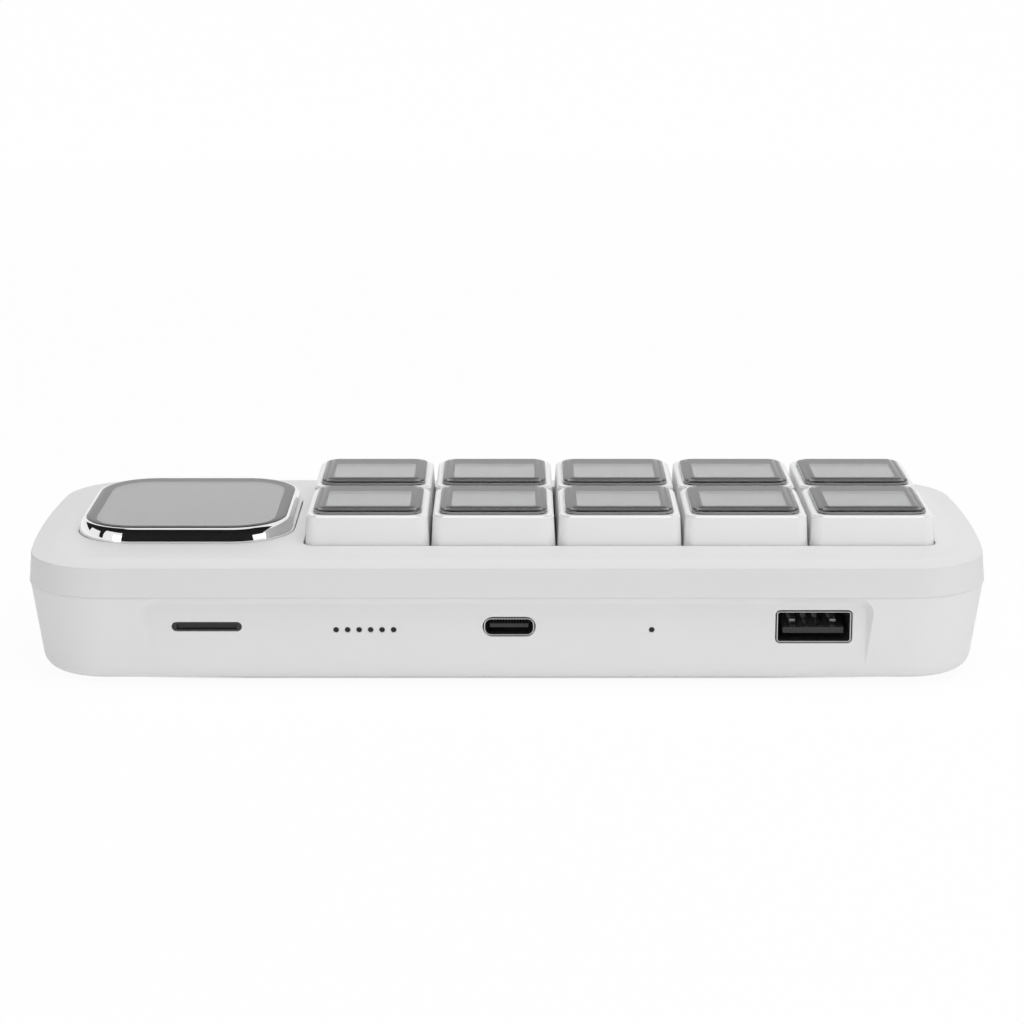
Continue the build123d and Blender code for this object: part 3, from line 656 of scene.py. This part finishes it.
def add_return_spring(number):
    """The coil spring inside a switch, as a fixed piece in place of the plain sleeve."""
    low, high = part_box("key_springs")
    middle = middle_of(f"switch_stem_{number}")
    wire = spring_wire / 2
    outlines = []
    for step in range(spring_turns * spring_steps + 1):
        angle = 2 * math.pi * step / spring_steps
        rise = low.z + wire + (high.z - low.z - 2 * wire) * step / (spring_turns * spring_steps)
        ring = []
        for side in range(spring_sides):
            around = 2 * math.pi * side / spring_sides
            reach = spring_radius - wire + wire * math.cos(around)
            ring.append((middle[0] + reach * math.cos(angle), middle[1] + reach * math.sin(angle),
                         rise + wire * math.sin(around)))
        outlines.append(ring)
    spring = add_piece(f"return_spring_{number}", skin_over(outlines), None, spring_steel)
    smooth(spring, crease=65)
    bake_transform(spring)
    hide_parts("key_springs")


def add_lens_gasket(number):
    """The low gasket on the cap that the flange of a lens rests on; its grey is painted shade under the lens's
    overhang.
    """
    low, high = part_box(f"key_lens_{number}")
    middle = middle_of(f"key_lens_{number}")
    cap_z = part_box(f"keycap_{number}")[1].z
    outer = high.x - low.x - 2 * gasket_inset
    inner = plug_width(number) + 2 * gasket_clearance
    top = cap_z + gasket_rise - lens_film
    foot = outer - 2 * gasket_foot_inset
    undercut = cap_z + gasket_undercut
    profile = [(foot, cap_z), (foot, undercut), (outer, undercut + gasket_step), (outer, top - gasket_edge),
               (outer - 2 * gasket_edge, top), (inner, top), (inner, cap_z)]
    outlines = [level(square(wide, flange_corner), middle, z) for wide, z in profile]
    add_piece(f"lens_gasket_{number}", skin_over(outlines, wrapped=True), f"key_{number}", gasket_painted_shade)


def add_key_print(number):
    """The black print on the underside of a key lens: under its lip, down its plug and around the window."""
    low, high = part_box(f"key_lens_{number}")
    middle = middle_of(f"key_lens_{number}")
    gasket_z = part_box(f"keycap_{number}")[1].z + gasket_rise
    plug = plug_width(number)
    lip = square(high.x - low.x - 2 * clear_rim, flange_corner - clear_rim)
    inside = square(plug - 2 * print_bite, plug_corner)
    outside = square(plug + print_depth, plug_corner)
    offset = (key_window_rear - key_window_front) / 2
    window = [(x, y + offset) for x, y in
              rounded_rectangle(key_window_x, key_window_rear + key_window_front, key_window_corner)]
    lip_low, lip_high = gasket_z - lens_film / 2, gasket_z + print_bite
    low_z, high_z = low.z - print_depth, low.z + print_bite
    profile = [(lip, lip_low), (lip, lip_high), (inside, lip_high), (inside, high_z), (window, high_z),
               (window, low_z), (outside, low_z), (outside, lip_low)]
    add_piece(f"key_print_{number}", skin_over([level(ring, middle, z) for ring, z in profile], wrapped=True),
              f"key_{number}", print_black)


def add_display_print():
    """The black frame printed on the underside of the display glass."""
    low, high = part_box("display_glass")
    middle = middle_of("display_glass")
    width, depth = high.x - low.x, high.y - low.y
    edge = display_print_edge
    offset = (display_border_front - display_border_rear) / 2
    outer = rounded_rectangle(width - 2 * edge, depth - 2 * edge, glass_corner - edge, display_print_steps)
    inner = [(x, y + offset) for x, y in
             rounded_rectangle(width - 2 * display_border_x, depth - display_border_rear - display_border_front,
                               display_window_corner, display_print_steps)]
    bottom, top = low.z + print_bite / 2, low.z + 2 * print_bite
    profile = [(outer, bottom), (outer, top), (inner, top), (inner, bottom)]
    add_piece("display_print", skin_over([level(ring, middle, z) for ring, z in profile], wrapped=True), "case",
              print_black)


def inset_outline(low, high, inset, corner, middle, z):
    """The rounded outline of a box in plan, drawn in by an inset and laid at a height."""
    return level(rounded_rectangle(high.x - low.x - 2 * inset, high.y - low.y - 2 * inset, corner - inset,
                                   bezel_corner_steps), middle, z)


def add_display_glass():
    """The cover glass with its rounded upper edge, in place of the plain plate."""
    low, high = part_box("display_glass")
    middle = middle_of("display_glass")
    profile = [(0.0, low.z)]
    profile += [(inset, high.z - drop)
                for inset, drop in rolled_edge(glass_roll_in, glass_roll_down, glass_roll_steps)]
    profile.append((glass_roll_in + glass_flat, high.z))
    outlines = [inset_outline(low, high, inset, glass_corner, middle, z) for inset, z in profile]
    glass = add_piece("cover_glass", skin_over(outlines), "case", cover_glass)
    smooth(glass, crease=35)
    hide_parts("display_glass")


def add_bezel():
    """The polished bezel, with the smooth roll of its outer side, in place of the plainer solid."""
    low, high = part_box("display_bezel")
    glass_low, glass_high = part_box("display_glass")
    cover_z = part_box("top_cover")[1].z
    middle = middle_of("display_bezel")
    ring = (high.x - low.x - glass_high.x + glass_low.x) / 2
    roll_z = cover_z + bezel_foot
    profile = [(0.0, low.z), (0.0, roll_z)]
    for step in range(1, bezel_roll_steps + 1):
        angle = math.radians(90 * step / bezel_roll_steps)
        inset = bezel_roll * (bezel_lean * math.sin(angle) + (1 - bezel_lean) * (1 - math.cos(angle)))
        profile.append((inset, roll_z + (high.z - roll_z) * math.sin(angle)))
    inner, ledge = ring - glass_gap, ring + glass_ledge
    profile += [(inner, high.z), (inner, glass_low.z), (ledge, glass_low.z), (ledge, low.z)]
    outlines = [inset_outline(low, high, inset, bezel_corner, middle, z) for inset, z in profile]
    bezel = add_piece("bezel_ring", skin_over(outlines, wrapped=True), "case", bezel_chrome)
    smooth(bezel, crease=35)
    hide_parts("display_bezel")


def add_card_flap():
    """A near-black flap just inside the card slot, put there as painted shade for the dark inside of the slot.
    """
    low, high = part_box("card_socket")
    shell_low, shell_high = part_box("usb_c_shell")
    middle = ((low.x + high.x) / 2, (shell_low.z + shell_high.z) / 2)
    front = high.y - flap_depth
    outlines = []
    for inset, back in flap_profile:
        outline = rounded_rectangle(flap_width - 2 * inset * mm, flap_height - 2 * inset * mm, flap_corner, 3)
        outlines.append(upright(outline, middle, front - back * mm))
    add_piece("card_flap", skin_over(outlines), "case", flap_painted_shade)


def bent_strip(cad_name, across, bend, width, sheet, side=1):
    """A strip of sheet metal in a socket, at a place across it and bent from its mouth to its back. Its sizes
    are in millimetres, and a side of -1 turns it over."""
    low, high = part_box(cad_name)
    middle_x, middle_z = (low.x + high.x) / 2 + across * mm, (low.z + high.z) / 2
    points = [(high.y - depth * mm, middle_z + side * rise * mm) for depth, rise in bend]
    half = sheet * mm / 2
    outline = [(y, z + half) for y, z in points] + [(y, z - half) for y, z in reversed(points)]
    ends = (middle_x - width * mm / 2, middle_x + width * mm / 2)
    return skin_over([[(x, y, z) for y, z in outline] for x in ends])


def add_large_socket_metal():
    """The two bent spring leaves and the four contacts of the large flat socket."""
    for number, across in enumerate(leaf_places, start=1):
        leaf = bent_strip("usb_a_shell", across, leaf_bend, leaf_width, leaf_sheet)
        add_piece(f"large_socket_leaf_{number}", leaf, "case", contact_metal)
        tip = bent_strip("usb_a_shell", across, tip_bend, tip_width, tip_sheet)
        add_piece(f"large_socket_leaf_tip_{number}", tip, "case", socket_steel)
    for number, across in enumerate(contact_places, start=1):
        contact = bent_strip("usb_a_shell", across, contact_bend, contact_width, contact_sheet)
        add_piece(f"large_socket_contact_{number}", contact, "case", contact_metal)


def add_socket_shell(name, cad_name, corner):
    """A drawn socket shell with a rounded lip and a narrow gap around it, in place of the plain tube."""
    low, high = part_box(cad_name)
    middle = ((low.x + high.x) / 2, (low.z + high.z) / 2)
    lip = list(rolled_edge(shell_lip, shell_lip, shell_lip_steps))
    profile = [(shell_gap, low.y)]
    profile += [(shell_gap + inset, high.y - drop) for inset, drop in lip]
    profile += [(shell_wall - inset, high.y - drop) for inset, drop in reversed(lip)]
    profile.append((shell_wall, low.y))
    outlines = []
    for inset, y in profile:
        outline = rounded_rectangle(high.x - low.x - 2 * inset, high.z - low.z - 2 * inset, corner - inset)
        outlines.append(upright(outline, middle, y))
    shell = add_piece(name, skin_over(outlines, wrapped=True), "case", socket_steel)
    smooth(shell, crease=40)
    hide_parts(cad_name)


def add_hole_cloth():
    """Black cloth stretched just inside the sound holes, one shallow cup in each."""
    shell_low, shell_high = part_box("usb_c_shell")
    front = shell_high.y - cloth_depth
    middle_z = (shell_low.z + shell_high.z) / 2 - hole_drop
    radius = hole_diameter / 2 - cloth_slack
    for name, count in (("speaker", speaker_holes), ("microphone", 1)):
        low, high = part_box(name)
        for number in range(count):
            middle = ((low.x + high.x) / 2 + (number - (count - 1) / 2) * hole_pitch, middle_z)
            outlines = []
            for inset, back in cloth_cup:
                size = radius - inset * mm
                outline = rounded_rectangle(2 * size, 2 * size, size * 0.999, 5)
                outlines.append(upright(outline, middle, front - back * mm))
            add_piece(f"{name}_cloth_{number + 1}", skin_over(outlines), "case", boot_rubber)


def add_small_socket_contacts():
    """The rows of flat contacts on both faces of the small socket's tongue."""
    for number, side in enumerate((-1, 1), start=1):
        strips = bmesh.new()
        for across in row_places:
            strip = bent_strip("usb_c_shell", across, row_bend, row_width, row_sheet, side)
            made = bpy.data.meshes.new("strip")
            strip.to_mesh(made)
            strip.free()
            strips.from_mesh(made)
            bpy.data.meshes.remove(made)
        add_piece(f"small_socket_contacts_{number}", strips, "case", contact_metal)


for key_number in key_numbers:
    add_keycap(key_number)
    add_key_lens(key_number)
    add_lens_gasket(key_number)
    add_key_print(key_number)
    add_key_ribbon(key_number)
    add_return_spring(key_number)
add_display_glass()
add_display_print()
add_bezel()
add_card_flap()
add_socket_shell("small_socket_shell", "usb_c_shell", small_shell_corner)
add_socket_shell("large_socket_shell", "usb_a_shell", large_shell_corner)
add_large_socket_metal()
add_small_socket_contacts()
add_hole_cloth()


# Studio

def add_floor():
    """A white floor that keeps the panel's shadow and looks white to the lens and in polished pieces. From
    below it is clear, so that the underside shows."""
    maker = bmesh.new()
    bmesh.ops.create_grid(maker, x_segments=2, y_segments=2, size=floor_half)
    mesh = bpy.data.meshes.new("floor")
    maker.to_mesh(mesh)
    maker.free()
    material = bpy.data.materials.new("floor white")
    material.use_nodes = True
    tree = material.node_tree
    tree.nodes.clear()
    paper = node(tree, "ShaderNodeBsdfDiffuse", {"Color": (*grey(floor_paper), 1.0)})
    glow = node(tree, "ShaderNodeEmission", {"Color": (1.0, 1.0, 1.0, 1.0), "Strength": backdrop_level})
    white = spread(tree, far_away(tree), floor_near_white, floor_far_white)
    shown = maths(tree, "SUBTRACT", white, maths(tree, "MULTIPLY", floor_shadow(tree), shadow_depth))
    seen = node(tree, "ShaderNodeMixShader", {"Fac": spread(tree, straight_rays(tree), floor_glow, shown)})
    tree.links.new(paper.outputs["BSDF"], seen.inputs[1])
    tree.links.new(glow.outputs["Emission"], seen.inputs[2])
    under = node(tree, "ShaderNodeNewGeometry").outputs["Backfacing"]
    below = node(tree, "ShaderNodeMixShader", {"Fac": under})
    tree.links.new(seen.outputs["Shader"], below.inputs[1])
    tree.links.new(node(tree, "ShaderNodeBsdfTransparent").outputs["BSDF"], below.inputs[2])
    node(tree, "ShaderNodeOutputMaterial", {"Surface": below.outputs["Shader"]})
    mesh.materials.append(material)
    floor = bpy.data.objects.new("floor", mesh)
    floor.location.z = -floor_drop
    bpy.context.scene.collection.objects.link(floor)


def floor_shadow(tree):
    """One well under the panel, where the floor shows its full shadow, and none in the open."""
    spot = node(tree, "ShaderNodeSeparateXYZ", {"Vector": place(tree)}).outputs
    across = maths(tree, "SUBTRACT", cad_high.x, maths(tree, "ABSOLUTE", spot["X"]))
    along = maths(tree, "SUBTRACT", cad_high.y, maths(tree, "ABSOLUTE", spot["Y"]))
    inside_x, inside_y = ramp(tree, across, *shadow_ends), ramp(tree, along, shadow_start, shadow_full)
    return maths(tree, "MULTIPLY", inside_x, inside_y)


def far_away(tree):
    """None beside the panel, where the floor shows soft shade, and one far from it."""
    reach = node(tree, "ShaderNodeVectorMath", {"Vector": place(tree)}, operation="LENGTH")
    return ramp(tree, reach.outputs["Value"], *far_floor)


def straight_rays(tree):
    """One for rays from the lens, from polished pieces and through glass, and none for soft light."""
    path = node(tree, "ShaderNodeLightPath").outputs
    mirrored = maths(tree, "MAXIMUM", path["Is Glossy Ray"], path["Is Transmission Ray"])
    return maths(tree, "MAXIMUM", path["Is Camera Ray"], mirrored)


def light_world():
    """A white backdrop all round, and a lower light on the panel that falls off on the display's side."""
    world = bpy.data.worlds.new("studio")
    bpy.context.scene.world = world
    world.use_nodes = True
    tree = world.node_tree
    towards = node(tree, "ShaderNodeTexCoord").outputs["Generated"]
    side = node(tree, "ShaderNodeSeparateXYZ", {"Vector": towards}).outputs["X"]
    path = node(tree, "ShaderNodeLightPath").outputs
    mirrored = maths(tree, "MAXIMUM", path["Is Glossy Ray"], path["Is Transmission Ray"])
    soft = spread(tree, side, ambient_level, shaded_side_level)
    strength = spread(tree, path["Is Camera Ray"], spread(tree, mirrored, soft, mirrored_level), backdrop_level)
    feed(tree, tree.nodes["Background"].inputs["Color"], (1.0, 1.0, 1.0, 1.0))
    feed(tree, tree.nodes["Background"].inputs["Strength"], strength)


def add_softbox(name, place_at, size, brightness, lights=True, mirrored=True):
    """A soft square lamp that faces the panel. Its brightness is that of its face, with 1 as white. One that
    doesn't light is only there to be mirrored."""
    width, height = size
    lamp = bpy.data.lights.new(name, "AREA")
    lamp.shape = "RECTANGLE"
    lamp.size = width
    lamp.size_y = height
    lamp.energy = brightness * math.pi * width * height
    softbox = bpy.data.objects.new(name, lamp)
    softbox.location = place_at
    softbox.rotation_euler = (-Vector(place_at)).to_track_quat("-Z", "Y").to_euler()
    softbox.visible_camera = False
    softbox.visible_diffuse = lights
    softbox.visible_glossy = mirrored
    bpy.context.scene.collection.objects.link(softbox)


def add_flag():
    """Black cloth in an arc around the lens side, with a roof. Polished edges that face the lens mirror it as
    a dark band. Its hem is lifted over the lamps at both sides and over a white window beyond one of them."""
    maker = bmesh.new()
    columns = []
    for turn in sorted({*flag_hem, *flag_turns}):
        before, after = max(t for t in flag_hem if t <= turn), min(t for t in flag_hem if t >= turn)
        share = (turn - before) / max(after - before, 1)
        hem_z = flag_hem[before] + (flag_hem[after] - flag_hem[before]) * share
        across, along = math.sin(math.radians(turn)), math.cos(math.radians(turn))
        edge = ((flag_radius, hem_z), (flag_radius, flag_roof), (flag_roof_radius, flag_roof))
        columns.append([maker.verts.new((size * across, size * along, z)) for size, z in edge])
    for column, following in zip(columns, columns[1:]):
        for row in range(2):
            maker.faces.new((column[row], following[row], following[row + 1], column[row + 1]))
    mesh = bpy.data.meshes.new("flag")
    maker.to_mesh(mesh)
    maker.free()
    material = bpy.data.materials.new("flag black")
    material.use_nodes = True
    material.node_tree.nodes["Principled BSDF"].inputs["Base Color"].default_value = (0.01, 0.01, 0.01, 1.0)
    material.node_tree.nodes["Principled BSDF"].inputs["Roughness"].default_value = 1.0
    mesh.materials.append(material)
    flag = bpy.data.objects.new("flag", mesh)
    flag.visible_camera = False
    flag.visible_diffuse = False
    flag.visible_shadow = False
    bpy.context.scene.collection.objects.link(flag)


def add_camera():
    """The photograph's camera."""
    lens = bpy.data.cameras.new("camera")
    lens.lens = camera_lens
    lens.sensor_width = 36.0
    lens.clip_start = 0.01
    camera = bpy.data.objects.new("camera", lens)
    camera.location = camera_place
    camera.rotation_euler = (math.radians(90 - camera_drop), 0.0, math.radians(180))
    bpy.context.scene.collection.objects.link(camera)
    bpy.context.scene.camera = camera


add_floor()
light_world()
add_softbox("overhead softbox", overhead_place, overhead_size, overhead_level, mirrored=False)
add_softbox("front fill", fill_place, fill_size, fill_level, mirrored=False)
add_softbox("key softbox", key_place, key_size, key_level)
add_softbox("glint softbox", glint_place, glint_size, glint_level, lights=False)
add_flag()
add_camera()
bpy.context.scene.view_settings.view_transform = "Standard"
